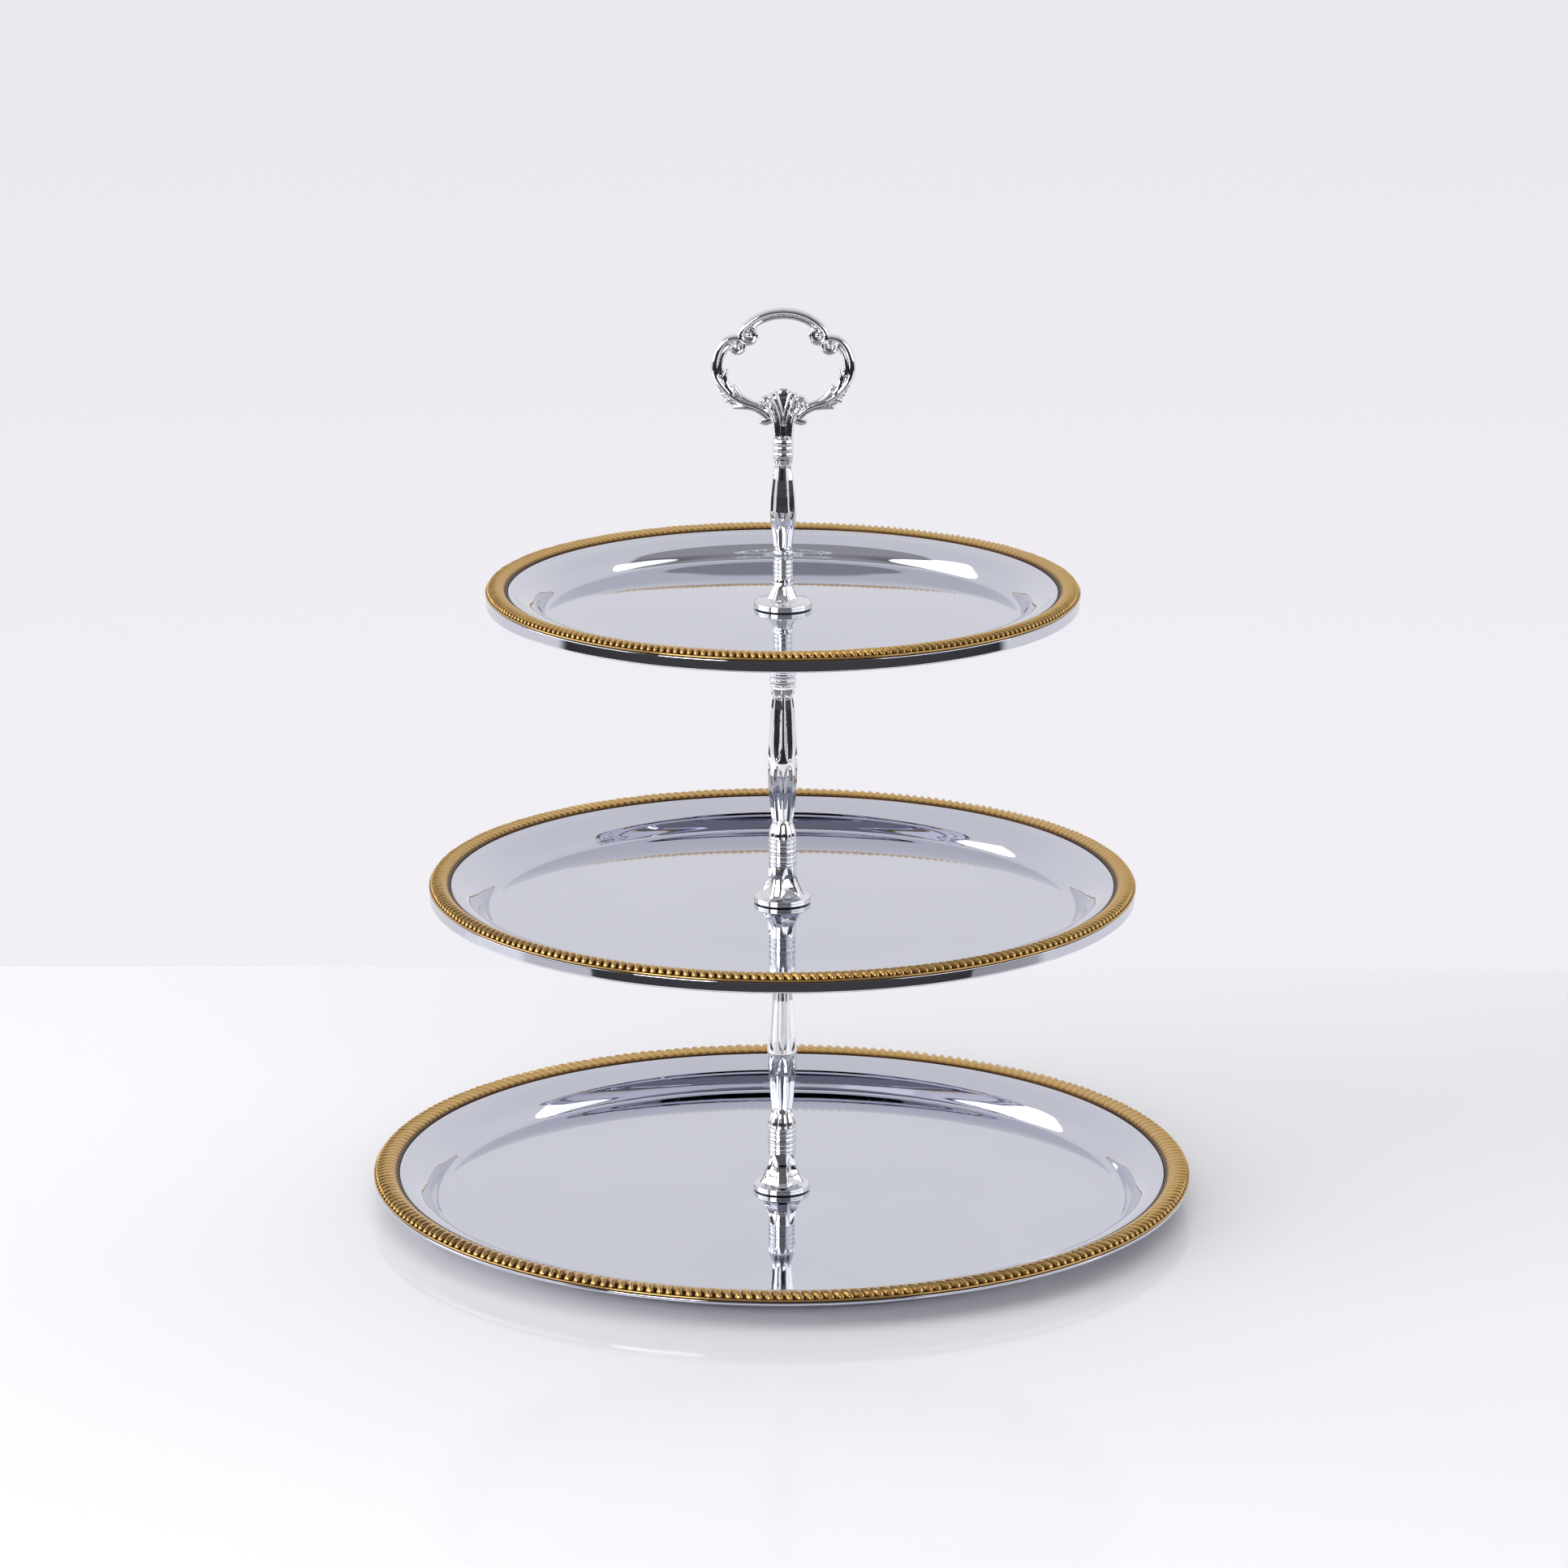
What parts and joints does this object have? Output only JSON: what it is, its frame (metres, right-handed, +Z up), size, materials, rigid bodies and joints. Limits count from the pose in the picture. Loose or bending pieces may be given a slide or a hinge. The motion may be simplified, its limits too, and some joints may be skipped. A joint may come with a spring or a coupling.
{
  "type": "tiered cake stand",
  "caption": "Tiered cake stand: round pressed trays with gadrooned gold borders on a screwed baluster column with a scrolled carrying handle.",
  "frame": {"origin": "on the table, on the axis of the column", "axes": "+Z up along the column, +X to the right across the handle's loop, +Y to the back"},
  "size_m": [0.35, 0.35, 0.3872],
  "materials": {
    "silver_plate": "mirror polished silver-coloured plate",
    "gold_plate": "polished gold plate with darker recesses",
    "chrome": "bright chrome plate on castings",
    "steel": "zinc plated threaded steel",
    "clear_plastic": "clear soft plastic"
  },
  "bodies": {
    "base": {"lower_tray": "silver_plate", "lower_tray_border": "gold_plate", "foot_screw": "steel", "foot_washer": "steel"},
    "lower_washer": {"lower_clear_washer": "clear_plastic"},
    "lower_stem": {"lower_stem": "chrome"},
    "middle_tray": {"middle_tray": "silver_plate", "middle_tray_border": "gold_plate"},
    "middle_stud": {"middle_stud": "steel", "middle_clear_washer": "clear_plastic"},
    "middle_stem": {"middle_stem": "chrome"},
    "upper_tray": {"upper_tray": "silver_plate", "upper_tray_border": "gold_plate"},
    "upper_stud": {"upper_stud": "steel", "upper_clear_washer": "clear_plastic"},
    "upper_stem": {"upper_stem": "chrome"},
    "handle_stud": {"handle_stud": "steel"},
    "handle": {"handle": "chrome"}
  },
  "joints": [
    {"name": "lower_stem_rise", "type": "slide", "parent": "base", "child": "lower_washer", "axis": [0, 0, 1], "range_m": [0, 0.0064]},
    {"name": "lower_stem_turn", "type": "hinge", "parent": "lower_washer", "child": "lower_stem", "pos_m": [0, 0, 0.003], "axis": [0, 0, 1], "range_deg": [0, 2980]},
    {"name": "middle_tray_turn", "type": "hinge", "parent": "lower_stem", "child": "middle_tray", "pos_m": [0, 0, 0.1312], "axis": [0, 0, 1], "continuous": true},
    {"name": "middle_stem_rise", "type": "slide", "parent": "lower_stem", "child": "middle_stud", "axis": [0, 0, 1], "range_m": [0, 0.0064]},
    {"name": "middle_stem_turn", "type": "hinge", "parent": "middle_stud", "child": "middle_stem", "pos_m": [0, 0, 0.1312], "axis": [0, 0, 1], "range_deg": [0, 2980]},
    {"name": "upper_tray_turn", "type": "hinge", "parent": "middle_stem", "child": "upper_tray", "pos_m": [0, 0, 0.2594], "axis": [0, 0, 1], "continuous": true},
    {"name": "upper_stem_rise", "type": "slide", "parent": "middle_stem", "child": "upper_stud", "axis": [0, 0, 1], "range_m": [0, 0.0064]},
    {"name": "upper_stem_turn", "type": "hinge", "parent": "upper_stud", "child": "upper_stem", "pos_m": [0, 0, 0.2594], "axis": [0, 0, 1], "range_deg": [0, 2980]},
    {"name": "handle_rise", "type": "slide", "parent": "upper_stem", "child": "handle_stud", "axis": [0, 0, 1], "range_m": [0, 0.0063]},
    {"name": "handle_turn", "type": "hinge", "parent": "handle_stud", "child": "handle", "pos_m": [0, 0, 0.3323], "axis": [0, 0, 1], "range_deg": [0, 3340]}
  ],
  "couplings": [
    {"joint": "lower_stem_turn", "follows": "lower_stem_rise", "rad_per_m": 7854},
    {"joint": "middle_stem_turn", "follows": "middle_stem_rise", "rad_per_m": 7854},
    {"joint": "upper_stem_turn", "follows": "upper_stem_rise", "rad_per_m": 7854},
    {"joint": "handle_turn", "follows": "handle_rise", "rad_per_m": 8976}
  ]
}
